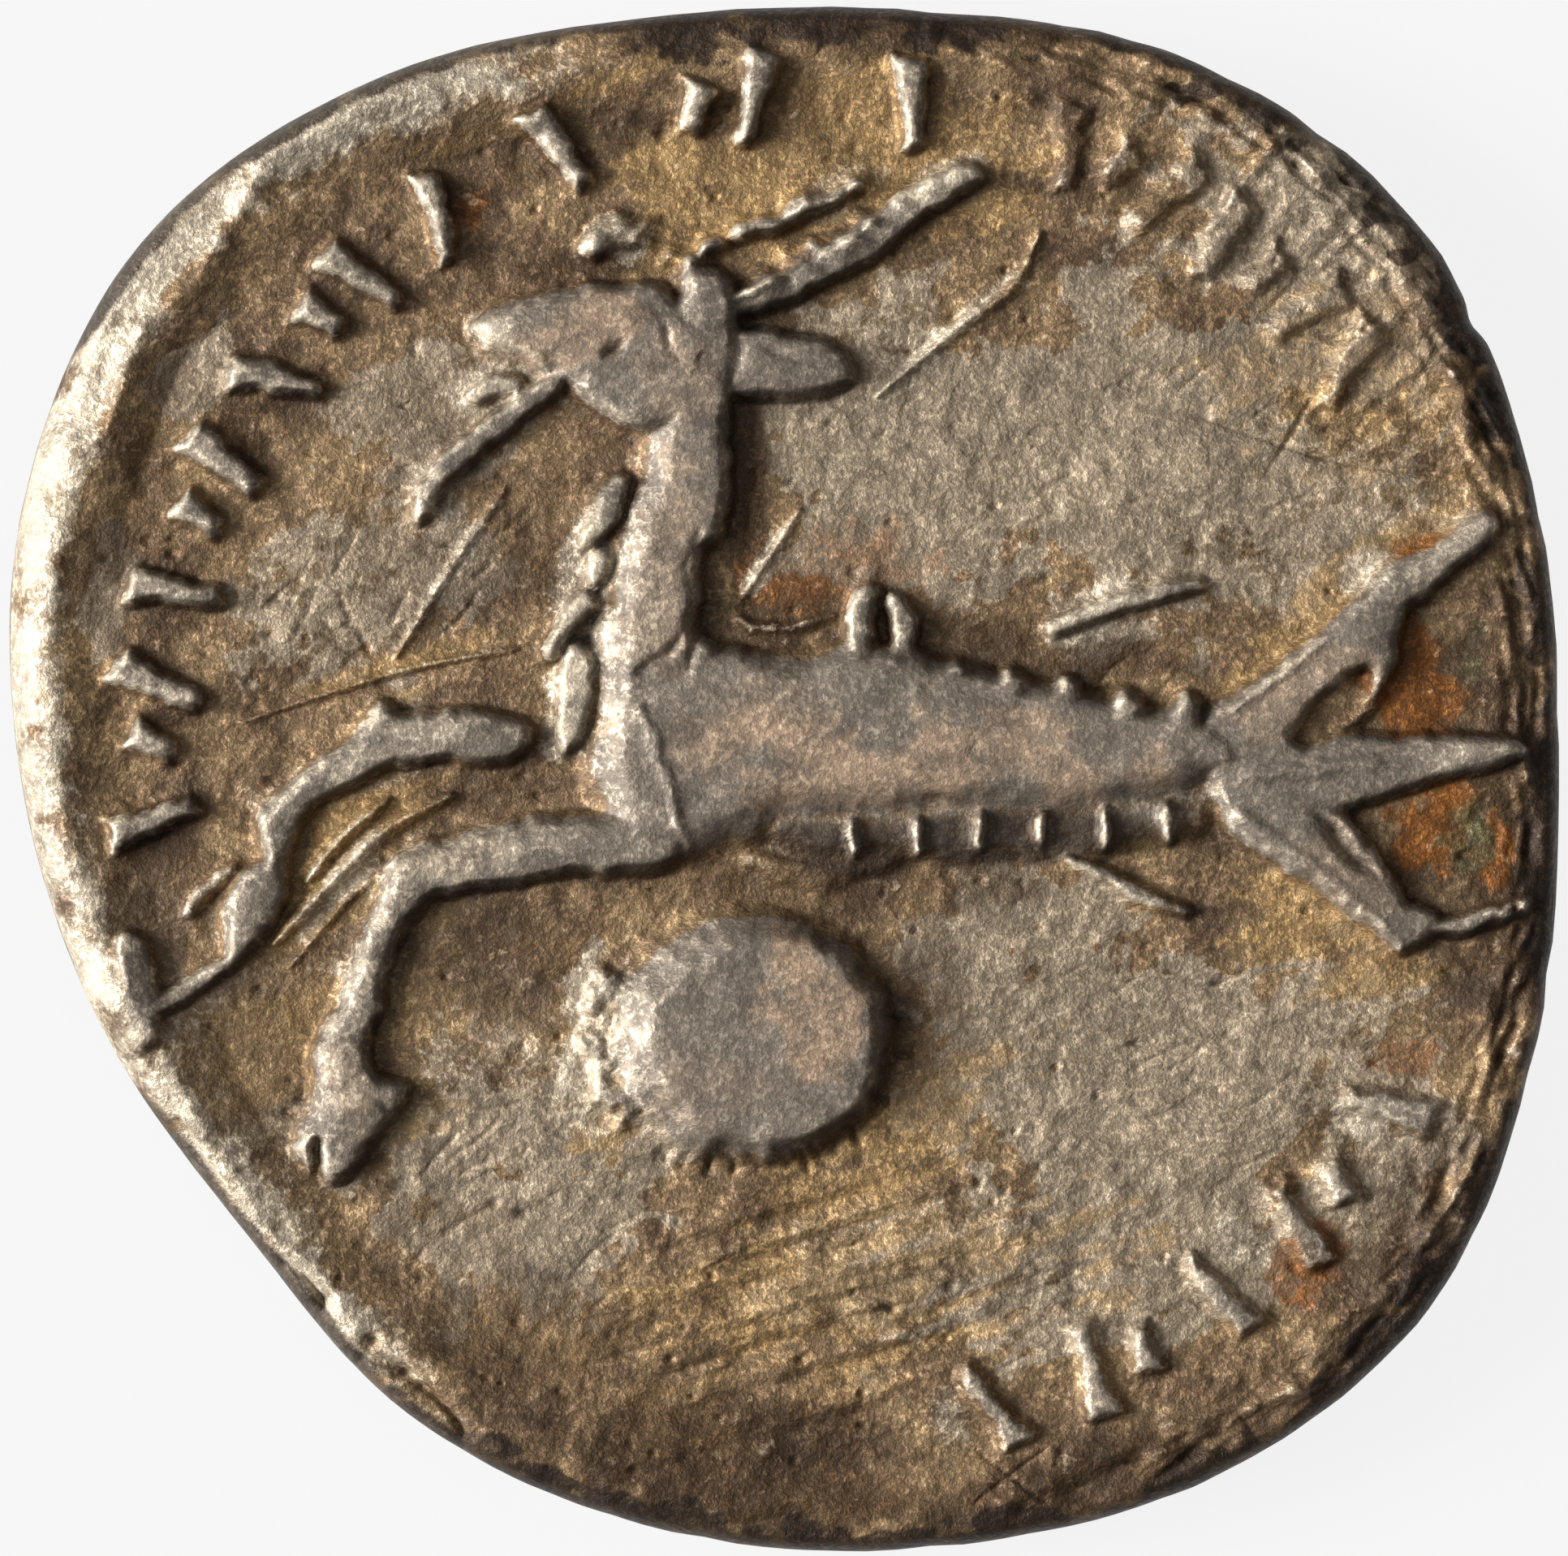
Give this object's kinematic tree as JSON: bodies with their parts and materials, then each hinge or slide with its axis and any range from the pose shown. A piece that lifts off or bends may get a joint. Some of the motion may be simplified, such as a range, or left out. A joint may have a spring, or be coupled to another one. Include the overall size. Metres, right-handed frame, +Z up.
{
  "type": "denarius coin",
  "caption": "Hammered silver coin with an uneven round edge: a sea-goat over a globe on the upper side, a laurelled head underneath, lying flat.",
  "frame": {"origin": "on the surface that the coin lies on, under the middle of its outline", "axes": "+Z up through the coin's thickness, out of the sea-goat side; +X to the right and +Y to the top of that side's picture"},
  "size_m": [0.0182, 0.0181, 0.0019],
  "materials": {
    "toned_silver": "worn struck silver with brown and golden toning"
  },
  "bodies": {
    "root": {"coin": "toned_silver"}
  },
  "joints": []
}
